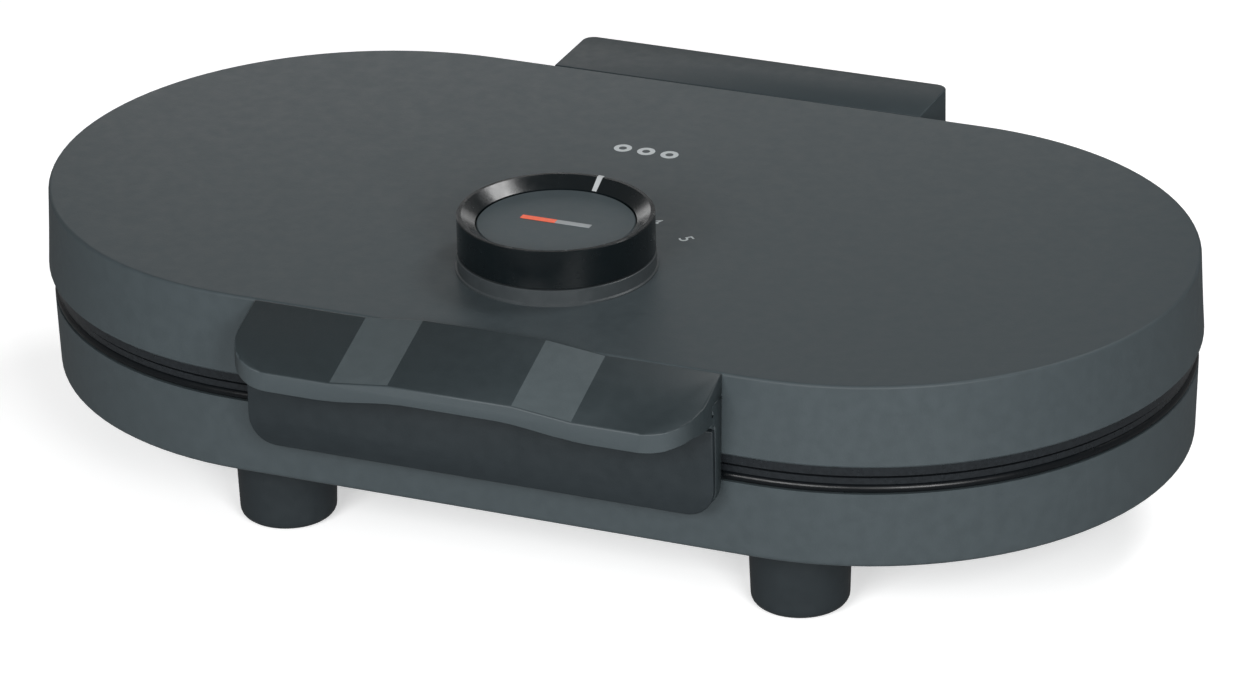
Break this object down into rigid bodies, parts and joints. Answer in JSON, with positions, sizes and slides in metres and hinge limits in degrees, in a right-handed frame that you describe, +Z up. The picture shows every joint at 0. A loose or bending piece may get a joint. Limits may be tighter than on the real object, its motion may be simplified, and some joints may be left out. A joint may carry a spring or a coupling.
{
  "type": "donut maker",
  "caption": "Electric ring-cake baker: rounded oblong clamshell with hinged lid, heated ring moulds, sprung latch under a front handle, and a temperature dial on top.",
  "frame": {"origin": "on the surface the feet stand on, under the middle of the outer box", "axes": "+X along the length, +Y towards the rear hinge, +Z up; the handle is towards -Y"},
  "size_m": [0.3744, 0.257, 0.1084],
  "materials": {
    "housing": "fine matt texture",
    "handle": "fine matt texture",
    "dark_trim": "semi-gloss",
    "foot": "satin",
    "pad": "matt",
    "plate": "dark non-stick coating",
    "element": "drawn tube",
    "reflector": "mill finish",
    "steel": "zinc plated",
    "insulator": "matt",
    "fuse": "plain",
    "collar": "satin",
    "disc": "fine matt texture",
    "red_lens": "translucent red",
    "clear_lens": "translucent clear",
    "board": "solder mask",
    "lamp": "clear glass",
    "nylon": "natural nylon",
    "dial": "gloss black",
    "pointer": "satin silver"
  },
  "bodies": {
    "base": {"lower_housing": "housing", "base_bezel": "dark_trim", "lower_plate": "plate", "lower_heating_element": "element", "lower_reflector": "reflector", "hinge_housing": "housing", "hinge_pins": "steel", "latch_strike": "dark_trim", "cord_gland": "dark_trim", "terminal_block": "insulator", "thermal_fuse": "fuse", "foot_front_left": "foot", "foot_front_right": "foot", "foot_rear_left": "foot", "foot_rear_right": "foot", "foot_pads": "pad", "foot_screws": "steel", "lower_plate_screws": "steel", "hinge_housing_screws": "steel"},
    "lid": {"upper_housing": "housing", "upper_plate": "plate", "upper_heating_element": "element", "upper_reflector": "reflector", "upper_plate_screws": "steel", "hinge_cover": "housing", "hinge_cover_screws": "steel", "handle": "handle", "latch_pin": "steel", "latch_springs": "steel", "dial_collar": "collar", "centre_disc": "disc", "red_light_pipe": "red_lens", "clear_light_pipe": "clear_lens", "lamp_board": "board", "indicator_lamps": "lamp", "thermostat": "insulator", "thermostat_bracket": "steel", "thermostat_screws": "steel"},
    "latch": {"latch_lever": "handle"},
    "thermostat_drive": {"thermostat_shaft": "steel", "drive_pinion": "nylon"},
    "dial": {"dial_ring": "dial", "dial_pointer": "pointer"}
  },
  "joints": [
    {"name": "lid_hinge", "type": "hinge", "parent": "base", "child": "lid", "pos_m": [0, 0.1185, 0.0595], "axis": [-1, 0, 0], "range_deg": [0, 100]},
    {"name": "latch_pivot", "type": "hinge", "parent": "lid", "child": "latch", "pos_m": [0, -0.1049, 0.0742], "axis": [-1, 0, 0], "range_deg": [0, 10], "stiffness_Nm_per_rad": 0.3, "springref_deg": -5.73},
    {"name": "dial_turn", "type": "hinge", "parent": "lid", "child": "dial", "pos_m": [0, -0.0465, 0.1], "axis": [0, 0, 1], "range_deg": [-38, 48]},
    {"name": "thermostat_turn", "type": "hinge", "parent": "lid", "child": "thermostat_drive", "pos_m": [0, -0.0312, 0.09], "axis": [0, 0, 1], "range_deg": [-152, 192]}
  ],
  "couplings": [
    {"joint": "thermostat_turn", "follows": "dial_turn", "ratio": 4}
  ]
}
